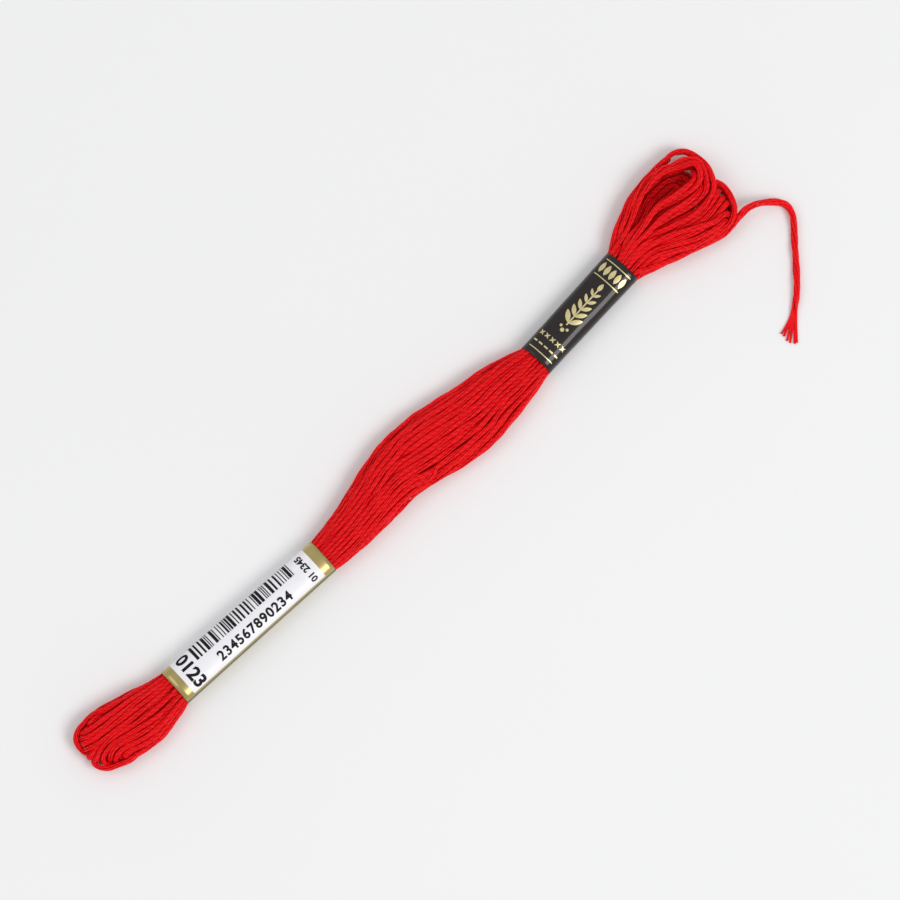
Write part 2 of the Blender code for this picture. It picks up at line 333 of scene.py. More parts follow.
def length_along(points):
    """Length of a line of points up to each of them."""
    return np.r_[0, np.cumsum(np.linalg.norm(np.diff(points, axis=0), axis=1))]


def smooth_step(x):
    """3x^2 - 2x^3, from 0 to 1."""
    x = np.clip(x, 0, 1)
    return x * x * (3 - 2 * x)


def node_mesh(name):
    """A CAD node's vertices in mm and its triangles' edges, as index pairs."""
    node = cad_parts[name]
    mesh = node.data
    verts = np.empty(len(mesh.vertices) * 3, np.float32)
    mesh.vertices.foreach_get("co", verts)
    edges = np.empty(len(mesh.edges) * 2, np.int32)
    mesh.edges.foreach_get("vertices", edges)
    turn = np.array(node.matrix_world)
    verts = verts.reshape(-1, 3) @ turn[:3, :3].T + turn[:3, 3]
    return verts / MM, edges.reshape(-1, 2)


# ---------------------------------------------------------------- bands and the room for thread

class Band:
    """The place of a paper band, read from its CAD node: the middles of its two ends, its
    width at each and its height. Round it, angles start at +Y and pass over the top: flap_edge
    is where its flap ends, and overlap how far it laps over itself, in degrees."""

    def __init__(self, node, flap_edge, overlap):
        verts, _ = node_mesh(node)
        middle = (verts[:, 0].min() + verts[:, 0].max()) / 2
        ends = [verts[verts[:, 0] < middle], verts[verts[:, 0] > middle]]
        low = np.array([end.min(0) for end in ends])
        high = np.array([end.max(0) for end in ends])
        self.ends = (low + high)[:, :2] / 2
        self.axis = self.ends[1] - self.ends[0]
        self.length = np.linalg.norm(self.axis)
        self.axis /= self.length
        self.aside = np.array((-self.axis[1], self.axis[0]))
        self.widths = (high - low)[:, 1] / self.axis[0]
        self.height = verts[:, 2].max()
        self.flap_edge = radians(flap_edge)
        self.overlap = radians(overlap)
        start = self.flap_edge - self.overlap
        self.angles = np.linspace(start, self.flap_edge + tau, BAND_STEPS[0])
        top = np.linspace(-0.6 * pi, 1.6 * pi, ARC_STEPS)
        outline = self.outline(top, np.full(len(top), 0.5))
        arc = length_along(outline)
        self.arc_angle = top
        self.arc = np.interp(pi / 2, top, arc) - arc
        outline = self.outline(self.angles, 0.5, self.angles - self.flap_edge - tau)
        self.sheet_arc = length_along(outline)
        self.top_line = np.interp(pi / 2 + tau, self.angles, self.sheet_arc)
        self.seam = self.top_line - np.interp(self.flap_edge, self.angles, self.sheet_arc)

    def turned(self, angle):
        """Angle of the uppermost layer there, back from the flap's edge: from -360 deg to 0."""
        return (angle - self.flap_edge) % tau - tau

    def outline(self, angle, along, turned=None):
        """Superellipse in the plane across the band: y = a |cos|^(2/n), z = b |sin|^(2/n) about
        a raised centre, cut flat where it meets the surface. The sheet's first turn lies one
        layer and a gap within it, and its flap on it. Returns y and z."""
        if turned is None:
            turned = self.turned(angle)
        inset = (PAPER + LAYER_GAP) * smooth_step(-(turned + self.overlap + 0.05) / 0.35)
        width = self.widths[0] + (self.widths[1] - self.widths[0]) * along
        across = np.sign(np.cos(angle)) * np.abs(np.cos(angle)) ** (2 / POWER)
        up = np.sign(np.sin(angle)) * np.abs(np.sin(angle)) ** (2 / POWER)
        share = np.maximum((0.5 + 0.5 * up - UNDERSIDE) / (1 - UNDERSIDE), 0)
        y = across * (width / 2 - inset)
        z = inset + share * (self.height - 2 * inset)
        return np.stack([y + 0 * z, z + 0 * y], -1)

    def surface(self, along, across, lift):
        """Point on the paper: along the axis in mm from its middle, across in mm of paper from
        its top line towards +Y, and lifted off it along the outline's normal."""
        share = along / self.length + 0.5
        angle = np.interp(-across, -self.arc, self.arc_angle)
        here = self.outline(angle, share)
        ahead = self.outline(angle + 0.01, share)
        slope = unit(ahead - here)
        y = here[..., 0] + slope[..., 1] * lift
        z = here[..., 1] - slope[..., 0] * lift
        spot = self.ends[0] + share[..., None] * (self.axis * self.length) + y[..., None] * self.aside
        return np.concatenate([spot, z[..., None]], -1)


LIGHT_BAND = Band("band_light", flap_edge=157, overlap=58)
DARK_BAND = Band("band_dark", flap_edge=318, overlap=60)
BANDS = (LIGHT_BAND, DARK_BAND)


class Room:
    """The space that the threads fill: right and left edge and top, against x. It is read
    from sections of the CAD hank at even steps, and from the bands, then softened."""

    FREE = ((-84.5, -64.5, 1.0), (-23.0, 31.0, 1.5), (60.0, 84.5, 1.5))    # x from, to, step
    STEP = 0.5

    def __init__(self):
        verts, edges = node_mesh("hank")
        start, end = verts[edges[:, 0]], verts[edges[:, 1]]
        rows = []
        for first, last, step in self.FREE:
            for x in np.arange(first, last, step):
                cut = (start[:, 0] < x) != (end[:, 0] < x)
                share = (x - start[cut, 0]) / (end[cut, 0] - start[cut, 0])
                spots = start[cut] + share[:, None] * (end[cut] - start[cut])
                rows.append((x, spots[:, 1].min(), spots[:, 1].max(), spots[:, 2].max()))
        walls = 2 * PAPER + LAYER_GAP
        for band in BANDS:
            for share in (0.0, 0.5, 1.0):
                x, y = band.ends[0] + share * (band.ends[1] - band.ends[0])
                half = (band.widths[0] + share * (band.widths[1] - band.widths[0])) / 2 - walls
                rows.append((x, y - half, y + half, band.height - walls))
        rows = np.array(sorted(rows))
        self.x = np.arange(-86.0, 87.0, self.STEP)
        weights = np.array((1.0, 3.0, 5.0, 6.0, 5.0, 3.0, 1.0))
        weights /= weights.sum()
        self.edges = []
        for column in (1, 2, 3):
            values = np.pad(np.interp(self.x, rows[:, 0], rows[:, column]), 3, "edge")
            self.edges.append(np.convolve(values, weights, "valid"))

    def at(self, x):
        """Right edge, left edge and top at x."""
        return [np.interp(x, self.x, edge) for edge in self.edges]

    def thread(self, x):
        """Diameter of a thread: its own where there is room, and less where the cross-section
        has less area, as the threads press each other narrow."""
        right, left, top = self.at(np.clip(x, -74, 74))
        area = AREA * (left - right) / 2 * REACH_UP * top
        beyond = smooth_step((np.abs(x - FULL[0]) - FULL[1]) / FULL[2])
        free = BODY_THREAD + (THREAD - BODY_THREAD) * beyond
        return np.minimum(free, np.sqrt(FILL * area / (RUNS * pi / 4)))


ROOM = Room()


# ---------------------------------------------------------------- routes of the threads

class Lanes:
    """Where each of the 48 runs lies across the skein. A run keeps its lane, and wanders about
    it by slow sine waves of its own."""

    def __init__(self):
        rows = [(row, lane) for row, count in enumerate(ROW_COUNTS) for lane in range(count)]
        self.index = {key: number for number, key in enumerate(rows)}
        counts = np.array([ROW_COUNTS[row] for row, _ in rows])
        place = np.array(rows, float)
        self.across = (place[:, 1] - (counts - 1) / 2) / LANE_PITCH
        self.up = (place[:, 0] - 1.5) / 1.5 * TOP_LANE
        self.phase = RNG.uniform(0, tau, (4, len(rows)))
        spans = ((80, 140), (35, 50), (70, 120), (30, 45))
        self.wave = np.array([RNG.uniform(low, high, len(rows)) for low, high in spans])

    def at(self, run, x):
        """Place of a run's centre at each x: lane a, b scaled onto the superellipse's half-axes,
        and parted at the creases."""
        x = np.asarray(x, float)
        waves = np.sin(tau * x / self.wave[:, run, None] + self.phase[:, run, None])
        across = self.across[run] + WANDER[0][0] * waves[0] + WANDER[0][1] * waves[1]
        up = self.up[run] + WANDER[1][0] * waves[2] + WANDER[1][1] * waves[3]
        right, left, top = ROOM.at(x)
        size = ROOM.thread(x)
        beyond = (np.abs(across) ** POWER + np.abs(up) ** POWER) ** (1 / POWER)
        within = 1 / np.maximum(beyond, 1)
        y = (left + right) / 2 + ((left - right) / 2 - size / 2) * across * within
        z = MIDDLE * top + (REACH_UP * top - size / 2) * up * within
        for centre, spread, parting, gap in CREASES:
            offset = self.across[run] - parting
            share = np.exp(-((x - centre) / spread) ** 2) * np.clip(0.45 + 0.7 * up, 0, 1)
            side = 1.0 if offset > 0 else -1.1
            y = y + share * gap * side * np.exp(-(offset / 0.42) ** 2)
            z = z - share * 0.35 * np.exp(-(offset / 0.16) ** 2)
        return np.stack([x, y, np.maximum(z, size / 2)], -1)


LANES = Lanes()


def smooth_route(points):
    """Cubic curve through the points, with slopes from their neighbours, at even steps that
    are finer where the threads turn back."""
    points = np.asarray(points, float)
    along = length_along(points)
    slopes = np.gradient(points, along, axis=0)
    fine = np.linspace(0, along[-1], int(along[-1] / 0.2))
    piece = np.clip(np.searchsorted(along, fine) - 1, 0, len(along) - 2)
    span = (along[piece + 1] - along[piece])[:, None]
    t = (fine - along[piece])[:, None] / span
    curve = (2 * t ** 3 - 3 * t ** 2 + 1) * points[piece] + (t ** 3 - 2 * t ** 2 + t) * span * slopes[piece]
    curve += (3 * t ** 2 - 2 * t ** 3) * points[piece + 1] + (t ** 3 - t ** 2) * span * slopes[piece + 1]
    turning = (curve[:, 0] < TURNS[0]) | (curve[:, 0] > TURNS[1])
    step = np.where(turning, BEND_STEP, POINT_STEP)
    length = np.linalg.norm(np.diff(curve, axis=0), axis=1)
    count = np.r_[0, np.cumsum(length / step[1:])]
    even = np.linspace(0, count[-1], max(4, round(count[-1])) + 1)
    return np.stack([np.interp(even, count, curve[:, axis]) for axis in range(3)], -1)


def nested_loop(loops, tip, back, height_up, height_back):
    """A loop's points, between the outer, inner and lowest loops of its group: tip says where
    round the tip, back where on its way back, and the heights how high in the pile."""
    loops = np.array(loops)
    count = len(loops)
    returning = np.interp(np.arange(count), (0, 2, 4.5, 7.5, count - 1), (0.3, 0, 0, 1, 1))
    share = (tip * (1 - returning) + back * returning)[:, None]
    inward = np.where(share > 1.15, 1, np.clip(share, 0, 1.12))
    points = loops[:, :3] * (1 - inward) + loops[:, 3:6] * inward
    if tip > 1.2:
        core = np.array((*VOIDS[0][:2], 0.8))
        near = np.exp(-((loops[:, 6:7] - core[0]) / 6) ** 2) * (tip - 1.2) * 0.42
        points = loops[:, 6:] + (core - loops[:, 6:]) * near
    piled = PILE * np.where(share[:, 0] > 1.2, 0.2, 1.0)
    height = height_up * (1 - returning) + height_back * returning
    points[:, 2] = np.clip(points[:, 2] + (height - 0.5) * piled, 0.6, 6.0)
    return points


def looped_end_routes():
    """Runs joined two by two through the looped end, outermost lanes to outermost loops. The
    last two routes are the loose end and the thread's other end, hidden in the dark band."""
    stations = np.array((JOIN, -34, -24, -17, -10, -3, 4, 11, 18, 25, 32, 40, 50, 57.0))
    left = [run for (row, lane), run in LANES.index.items() if lane >= 6]
    left.sort(key=lambda run: 0.45 * LANES.up[run] - LANES.across[run])
    out = sorted(left[:12], key=lambda run: -LANES.across[run])
    back = sorted(left[12:], key=lambda run: LANES.across[run])
    routes = []

    def join(first, last, points):
        ends = LANES.at(first, stations), LANES.at(last, stations[::-1])
        routes.append(smooth_route(np.vstack([ends[0], points, ends[1]])))

    for turn, last, row in zip(LEFT_TURNS, back, LEFT_NEST):
        join(out[turn], last, nested_loop(LEFT_LOOPS, *row))
    outer, inner, lift = np.split(np.array(RIGHT_LOOPS), (2, 4), axis=1)
    for row, lane, back_row, back_lane, share, z in RIGHT_NEST:
        points = np.hstack([outer * (1 - share) + inner * share, lift + z])
        join(LANES.index[row, lane], LANES.index[back_row, back_lane], points)
    fan = np.array(RIGHT_FAN)
    for row, lane, low_row, low_lane, share, short, z_up, z_low in FAN_PAIRS:
        radius = (z_up - z_low) / 2
        weights = np.array(((1 - share) * (1 - 2 * share), 4 * share * (1 - share), share * (2 * share - 1)))
        spots = np.stack([fan[:, 0::2] @ weights, fan[:, 1::2] @ weights], -1)
        tip = np.array((np.dot(FAN_TIP[0::2], weights), np.dot(FAN_TIP[1::2], weights)))
        ahead = tip - spots[-1]
        ahead /= np.linalg.norm(ahead)
        tip = tip - short * ahead
        turn = [(*(tip - radius * ahead), z_up), (*(tip - 0.3 * radius * ahead), z_up - 0.3 * radius),
                (*tip, z_up - radius), (*(tip - 0.3 * radius * ahead), z_low + 0.3 * radius),
                (*(tip - radius * ahead), z_low)]
        above = np.column_stack([spots, np.full(len(spots), z_up)])
        below = np.column_stack([spots[::-1], np.full(len(spots), z_low)])
        join(LANES.index[row, lane], LANES.index[low_row, low_lane], np.vstack([above, turn, below]))
    loose, hidden = LANES.index[2, 0], LANES.index[1, 5]
    routes.append(smooth_route(np.vstack([LANES.at(loose, stations), EDGE_RUN, LOOSE_END])))
    routes.append(smooth_route(LANES.at(hidden, stations)))
    return routes


def folded_end_routes():
    """Runs joined two by two through the folded end. Most turn straight down, and a few lie
    round the outside of the others as a border."""
    stations = np.array((JOIN, -52, -60, -66, -72, -77.0))

    def route(upper, lower, turn):
        return smooth_route(np.vstack([LANES.at(upper, stations), turn, LANES.at(lower, stations[::-1])]))

    routes = []
    for row, lane, low_row, low_lane, turn in FOLD_BORDERS:
        routes.append(route(LANES.index[row, lane], LANES.index[low_row, low_lane], turn))
    for row, lane, low_row, low_lane in FOLD_PAIRS:
        upper, lower = LANES.index[row, lane], LANES.index[low_row, low_lane]
        above, below = LANES.at(upper, [-79.0])[0], LANES.at(lower, [-79.0])[0]
        y = (above[1] + below[1]) / 2
        z = (above[2] + below[2]) / 2
        radius = abs(above[2] - below[2]) / 2
        edge = np.interp(y, FOLD_EDGE_Y, FOLD_EDGE_X) + RNG.uniform(-0.2, 0.25)
        if row == 2:
            edge += INNER_FOLD
        turn = [(edge + 1.3 * radius, above[1], above[2] - 0.25),
                (edge + 0.35 * radius, above[1] * 0.7 + below[1] * 0.3, z + 0.60 * radius),
                (edge, y, z),
                (edge + 0.3 * radius, above[1] * 0.3 + below[1] * 0.7, z - 0.75 * radius),
                (edge + radius, below[1], below[2] + 0.05)]
        routes.append(route(upper, lower, turn))
    return routes


# ---------------------------------------------------------------- settling

def close_pairs(points, reach, chain, order):
    """Index pairs of points nearer than reach: cells of that size, sorted by a key in which z
    runs fastest, so that three cells in a column are one range."""
    cell = np.floor((points - points.min(0)) / reach).astype(np.int64) + 1
    rows, columns = cell[:, 1].max() + 2, cell[:, 2].max() + 2
    key = (cell[:, 0] * rows + cell[:, 1]) * columns + cell[:, 2]
    by_key = np.argsort(key, kind="stable")
    keys = key[by_key]
    firsts, seconds = [], []
    for across, aside in ((0, 0), (0, 1), (1, -1), (1, 0), (1, 1)):
        base = key + (across * rows + aside) * columns
        start = np.searchsorted(keys, base - 1, "left")
        count = np.searchsorted(keys, base + 1, "right") - start
        first = np.repeat(np.arange(len(points)), count)
        within = np.arange(count.sum()) - np.repeat(np.cumsum(count) - count, count)
        second = by_key[np.repeat(start, count) + within]
        if across == 0 and aside == 0:
            keep = first < second
            first, second = first[keep], second[keep]
        firsts.append(first)
        seconds.append(second)
    first, second = np.concatenate(firsts), np.concatenate(seconds)
    same = (chain[first] == chain[second]) & (np.abs(order[first] - order[second]) < 5)
    near = np.linalg.norm(points[first] - points[second], axis=1) < reach
    keep = near & ~same
    return first[keep], second[keep]


def keep_clear(points, which, stretch, void):
    """Moves the points of a void's threads out of it: away from its centre if it is an oval,
    or straight aside if it is a long slit, with each stretch of thread kept to one side of
    it. Threads under its floor stay low."""
    x, y, long_half, short_half, heading, floor, under = void
    ahead = np.array((cos(radians(heading)), sin(radians(heading))))
    aside = np.array((-ahead[1], ahead[0]))
    offset = points[which, :2] - (x, y)
    along, across = offset @ ahead / long_half, offset @ aside / short_half
    inside = np.hypot(along, across) < 1
    if long_half > 2.5 * short_half:
        near = (np.abs(along) < 1) * (np.abs(across) < 3) + 1e-6
        mean = np.bincount(stretch, across * near) / np.bincount(stretch, near)
        side = np.where(mean < 0, -1, 1)[stretch]
        edge = np.sqrt(np.maximum(1 - along ** 2, 0)) - side * across
        inside = (edge > 0) & (np.abs(along) < 1) & (np.abs(across) < 3)
        shift = (side * edge * short_half)[:, None] * aside
    else:
        shift = offset * (1 / np.maximum(np.hypot(along, across), 0.05) - 1)[:, None]
    high = smooth_step((points[which, 2] - floor) / 0.8) * inside
    low = (points[which, 2] <= floor) & inside
    points[which, :2] += 0.5 * shift * high[:, None]
    points[which, 2] -= 0.5 * np.where(low, np.maximum(points[which, 2] - under, 0), 0)


def settle(routes, fixed, borders, looping_count, steps=240):
    """Pushes the routes apart towards where their threads only touch. They end up pressed into
    one another by about a tenth of their width, as soft thread is. Each step moves close points
    apart, evens the push out along each thread, and brings it back into the room. The last
    points of the route named fixed, which is the loose end, and the turns of the borders stay
    where they are."""
    rest = np.vstack(routes)
    counts = [len(route) for route in routes]
    chain = np.repeat(np.arange(len(counts)), counts)
    order = np.concatenate([np.arange(count) for count in counts])
    first = np.r_[0, np.cumsum(counts)[:-1]]
    last = np.cumsum(counts) - 1
    before, after = np.arange(len(rest)) - 1, np.arange(len(rest)) + 1
    before[first], after[last] = first, last
    pinned = np.zeros(len(rest), bool)
    pinned[first] = pinned[last] = True
    pinned |= (chain == fixed) & ((rest[:, 0] > LOOSE_PINNED[0]) | (rest[:, 1] < LOOSE_PINNED[1]))
    pinned |= (chain >= borders[0]) & (chain < borders[1]) & (rest[:, 0] < BORDER_PINNED)
    voids = []
    for void in VOIDS:
        near = np.abs(rest[:, 0] - void[0]) < void[2] + 2
        which = np.flatnonzero(near & ((chain < looping_count) | (rest[:, 0] < 60)))
        stretch = np.cumsum(np.diff(which, prepend=which[0]) > 1)
        voids.append((which, stretch, void))
    size = ROOM.thread(rest[:, 0])
    move = np.zeros_like(rest)
    for step in range(steps):
        points = rest + move
        if step % 6 == 0:
            one, other = close_pairs(points, BODY_THREAD + 0.3, chain, order)
        gap = points[one] - points[other]
        distance = np.linalg.norm(gap, axis=1) + 1e-9
        overlap = np.maximum((size[one] + size[other]) / 2 - distance, 0)
        push = (PUSH * overlap / distance)[:, None] * gap
        for axis in range(3):
            move[:, axis] += np.bincount(one, push[:, axis], len(rest))
            move[:, axis] -= np.bincount(other, push[:, axis], len(rest))
        move[pinned] = 0
        move += EVENING * ((move[before] + move[after]) / 2 - move)
        move *= FADE
        points = rest + move
        right, left, top = ROOM.at(points[:, 0])
        half = np.maximum((left - right) / 2 - size / 2, 0.3)
        middle = (left + right) / 2
        centre = MIDDLE * top
        beyond = np.abs((points[:, 1] - middle) / half) ** POWER
        beyond += np.abs((points[:, 2] - centre) / (REACH_UP * top - size / 2)) ** POWER
        held = (points[:, 0] > HELD[0]) & (points[:, 0] < HELD[1]) & (points[:, 1] > LOOSE_PINNED[1])
        scale = np.where(held, 1 / np.maximum(beyond ** (1 / POWER), 1), 1)
        points[:, 1] = middle + (points[:, 1] - middle) * scale
        points[:, 2] = centre + (points[:, 2] - centre) * scale
        points[:, 0] = np.maximum(points[:, 0], FOLD_LIMIT)
        for which, stretch, void in voids:
            keep_clear(points, which, stretch, void)
        points[:, 2] = np.maximum(points[:, 2], size / 2)
        move = np.where(pinned[:, None], 0, points - rest)
    return np.split(rest + move, last[:-1] + 1)


# ---------------------------------------------------------------- strands

def carried_frames(paths):
    """Tangents of each path and a normal carried along it with the least turning: at every
    point the last normal loses its part along the new tangent."""
    longest = max(len(path) for path in paths)
    points = np.stack([np.pad(path, ((0, longest - len(path)), (0, 0)), "edge") for path in paths])
    tangent = np.zeros_like(points)
    for row, path in enumerate(paths):
        slope = unit(np.gradient(path, axis=0))
        tangent[row, :len(path)] = slope
        tangent[row, len(path):] = slope[-1]
    normal = np.zeros_like(points)
    carried = np.tile((0.0, 0.0, 1.0), (len(paths), 1))
    for ring in range(longest):
        along = tangent[:, ring]
        carried = unit(carried - along * (carried * along).sum(1, keepdims=True))
        normal[:, ring] = carried
    return [(tangent[row, :len(path)], normal[row, :len(path)]) for row, path in enumerate(paths)]


def strand_tubes(path, tangent, normal, size, phase):
    """Six strands laid round a path: strand k's centre is the path plus offset times
    (cos q N + sin q B), with q = phase + k/6 turn, less a turn for every LAY of length. Sine
    waves make q, the strand's radius and its offset waver along it. Returns an array of ring,
    strand, side, xyz, and the length along the path."""
    side = np.cross(tangent, normal)
    length = length_along(path)
    slow = np.sin(length / 11.0 + 7 * phase) + 0.6 * np.sin(length / 4.7 + 3 * phase)
    strand = np.arange(STRANDS)
    turn = phase + tau * strand / STRANDS - tau * length[:, None] / LAY + 0.25 * slow[:, None]
    turn = turn + 0.10 * np.sin(length[:, None] / 3.1 + 2.4 * strand + phase)
    radius = size[:, None] / 6 * (0.92 + 0.05 * np.sin(length[:, None] / 2.3 + 1.9 * strand + phase))
    drawn_in = 0.13 * (1 + np.sin(length[:, None] / 6.1 + 2.6 * strand + 5 * phase))
    reach = (size[:, None] / 2 - radius) * (1 - drawn_in)
    centre = path[:, None] + reach[..., None] * (
        np.cos(turn)[..., None] * normal[:, None] + np.sin(turn)[..., None] * side[:, None])
    around = tau * np.arange(STRAND_SIDES) / STRAND_SIDES
    spin = turn[..., None] + around
    ring = np.cos(spin)[..., None] * normal[:, None, None] + np.sin(spin)[..., None] * side[:, None, None]
    return centre[:, :, None] + radius[..., None, None] * ring, length


def thread_mesh(name, threads, material):
    """One object of many capped tubes. threads holds (rings, length, tone) for each thread."""
    verts, quads, caps, uvs, cap_uvs, tones = [], [], [], [], [], []
    base = 0
    for rings, length, tone in threads:
        count, strands, sides, _ = rings.shape
        number = base + np.arange(count * strands * sides).reshape(count, strands, sides)
        base += number.size
        verts.append(rings.reshape(-1, 3))
        beside = np.roll(number, -1, axis=2)
        quads.append(np.stack([number[:-1], beside[:-1], beside[1:], number[1:]], -1).reshape(-1, 4))
        caps.append(number[0, :, ::-1])
        caps.append(number[-1])
        around = np.arange(sides) / sides
        u = np.stack([around, around + 1 / sides, around + 1 / sides, around], -1)
        u = np.broadcast_to(u, (count - 1, strands, sides, 4))
        v = np.stack([length[:-1], length[:-1], length[1:], length[1:]], -1)
        v = np.broadcast_to(v[:, None, None], (count - 1, strands, sides, 4))
        uvs.append(np.stack([u, v], -1).reshape(-1, 2))
        for end in (0, -1):
            cap_uvs.append(np.full((strands * sides, 2), (0.5, length[end])))
        shade = tone + 0.45 * np.sin(2.6 * np.arange(strands) + 9 * tone)
        tones.append(np.broadcast_to(shade[None, :, None], number.shape).ravel())
    return add_mesh(
        name, np.vstack(verts), [np.vstack(quads), np.vstack(caps)], material,
        uv=np.vstack(uvs + cap_uvs), tone=np.concatenate(tones))


def thinned(path):
    """Keeps every point of a path that lies free and every fourth one inside a band."""
    x = path[:, 0]
    hidden = np.zeros(len(path), bool)
    for band in BANDS:
        hidden |= (x > band.ends[0, 0] + 2) & (x < band.ends[1, 0] - 2)
    keep = ~hidden | (np.arange(len(path)) % 4 == 0)
    keep[0] = keep[-1] = True
    return path[keep]


# ---------------------------------------------------------------- materials

class Value:
    """A number in a shader: a socket, or a constant. Arithmetic on it adds Math nodes."""

    def __init__(self, shader, socket):
        self.shader = shader
        self.socket = socket

    def math(self, operation, *others):
        """Adds a Math node, with this value first."""
        node = self.shader.node("ShaderNodeMath", {"operation": operation}, [self, *others])
        return Value(self.shader, node.outputs[0])

    def __add__(self, other):
        return self.math("ADD", other)

    def __sub__(self, other):
        return self.math("SUBTRACT", other)

    def __rsub__(self, other):
        return Value(self.shader, other).math("SUBTRACT", self)

    def __mul__(self, other):
        return self.math("MULTIPLY", other)

    def __gt__(self, other):
        return self.math("GREATER_THAN", other)

    def __lt__(self, other):
        return self.math("LESS_THAN", other)

    __radd__ = __add__
    __rmul__ = __mul__

    def sine(self):
        return self.math("SINE")

    def clamped(self):
        return self.math("MAXIMUM", 0.0).math("MINIMUM", 1.0)


class Shader:
    """A material under construction, whose Principled BSDF starts with constants."""

    def __init__(self, name, **constants):
        self.material = bpy.data.materials.new(name)
        self.material.use_nodes = True
        self.tree = self.material.node_tree
        self.surface = self.tree.nodes["Principled BSDF"]
        for socket, value in constants.items():
            self.surface.inputs[socket.replace("_", " ").title().replace("Ior", "IOR")].default_value = value

    def node(self, kind, settings=None, inputs=None):
        """Adds a node: its settings first, then values or links for its sockets."""
        node = self.tree.nodes.new(kind)
        for key, value in (settings or {}).items():
            setattr(node, key, value)
        pairs = enumerate(inputs) if isinstance(inputs, list) else (inputs or {}).items()
        for key, value in pairs:
            self.put(node.inputs[key], value)
        return node

    def put(self, socket, value):
        """Links a value or an output to a socket, or sets a constant on it."""
        if isinstance(value, Value):
            value = value.socket
        if isinstance(value, bpy.types.NodeSocket):
            self.tree.links.new(value, socket)
        else:
            socket.default_value = value

    def value(self, node, output=0):
        return Value(self, node.outputs[output])

    def noise(self, scale, detail=2.0, vector=None, roughness=0.5):
        inputs = {"Scale": scale, "Detail": detail, "Roughness": roughness}
        inputs["Vector"] = vector or self.coordinates("Object")
        return self.value(self.node("ShaderNodeTexNoise", {}, inputs), "Fac")

    def coordinates(self, kind):
        return self.node("ShaderNodeTexCoord").outputs[kind]

    def uv(self):
        """The two numbers of the piece's own UV map."""
        place = self.node("ShaderNodeUVMap", {"uv_map": "surface"}).outputs[0]
        parts = self.node("ShaderNodeSeparateXYZ", {}, [place])
        return self.value(parts, "X"), self.value(parts, "Y")

    def attribute(self, name):
        return self.value(self.node("ShaderNodeAttribute", {"attribute_name": name}), "Fac")

    def mix(self, share, first, second):
        """A colour between two, by share."""
        node = self.node("ShaderNodeMix", {"data_type": "RGBA"})
        self.put(node.inputs[0], share)
        self.put(node.inputs[6], first)
        self.put(node.inputs[7], second)
        return node.outputs[2]

    def bump(self, height, distance, strength=1.0):
        settings = {"Height": height, "Distance": distance, "Strength": strength}
        self.put(self.surface.inputs["Normal"], self.node("ShaderNodeBump", {}, settings).outputs[0])

    def set(self, **sockets):
        for socket, value in sockets.items():
            self.put(self.surface.inputs[socket.replace("_", " ").title()], value)


def floss_material():
    """Mercerised cotton, with painted shade deep red in the plies' grooves and painted highlight
    brighter on their crests. Each strand is two plies twisted together, drawn as slanting
    ridges round it, under a fine grain of fibres."""
    shader = Shader(
        "floss_red", sheen_weight=0.05, sheen_roughness=0.4,
        sheen_tint=(1.0, 0.15, 0.22, 1.0), specular_ior_level=0.19)
    around, along = shader.uv()
    tone = shader.attribute("tone")
    twist = (around * (2 * tau) + along * (tau / PLY_STEP)).sine()
    fibres = shader.noise(5200.0, 3.0)
    broad = shader.noise(210.0, 2.0)
    # painted shade in the grooves between the plies and painted highlight on their crests
    painted_ply_shade = twist * 0.5 + 0.5
    # the colour's share: that painted shade and highlight, mixed with the fibres' grain, a broad mottle and
    # each strand's own tone
    shade = (painted_ply_shade * 0.30 + fibres * 0.25 + broad * 0.20 + tone * 0.34 + 0.14).clamped()
    deep = (0.76, 0.0, 0.0006, 1.0)
    bright = (0.87, 0.0026, 0.0085, 1.0)
    shader.set(base_color=shader.mix(shade, deep, bright))
    shader.set(roughness=fibres * 0.16 + 0.29)
    shader.bump(twist * 0.6 + fibres * 0.4, 0.00006, 0.9)
    return shader.material


def paper_surface(shader):
    """Fine fibre grain and slow waves of coated paper, as a bump height."""
    grain = shader.noise(2600.0, 3.0)
    waves = shader.noise(160.0, 2.0)
    return grain * 0.15 + waves


GOLD = (0.54, 0.43, 0.17, 1.0)
GOLD_DEEP = (0.34, 0.27, 0.10, 1.0)


def light_paper_material():
    """Gold foil paper with a white panel printed on it, which leaves gold at both ends and
    along the right, and painted shadow: a dark stripe along the flap's edge."""
    shader = Shader("white_gold_paper", coat_weight=0.25, coat_roughness=0.18)
    along, across = shader.uv()
    half = LIGHT_BAND.length / 2
    inside = (along > PANEL_ENDS[0] - half) * (along < half - PANEL_ENDS[1])
    panel = inside * (across > PANEL_SIDES[0]) * (across < PANEL_SIDES[1])
    mottle = shader.noise(420.0, 3.0)
    brushed = shader.noise(90.0, 2.0)
    gold = shader.mix((mottle * 0.6 + brushed * 0.7).clamped(), GOLD_DEEP, GOLD)
    white = shader.mix(mottle, (0.80, 0.79, 0.83, 1.0), (0.88, 0.87, 0.90, 1.0))
    # painted shadow: a dark, less metallic stripe along the flap's edge and the band's side beyond it
    seam = (across > LIGHT_BAND.seam + SEAM_SHADOW[0]) * (across < LIGHT_BAND.seam + SEAM_SHADOW[1])
    printed = shader.mix(panel, gold, white)
    shader.set(base_color=shader.mix(seam, printed, (0.05, 0.045, 0.02, 1.0)))
    shader.set(metallic=(1 - panel) * (1 - seam) * 0.85)
    shader.set(roughness=panel * 0.10 + mottle * 0.10 + 0.27)
    shader.bump(paper_surface(shader), 0.00004, 0.5)
    return shader.material


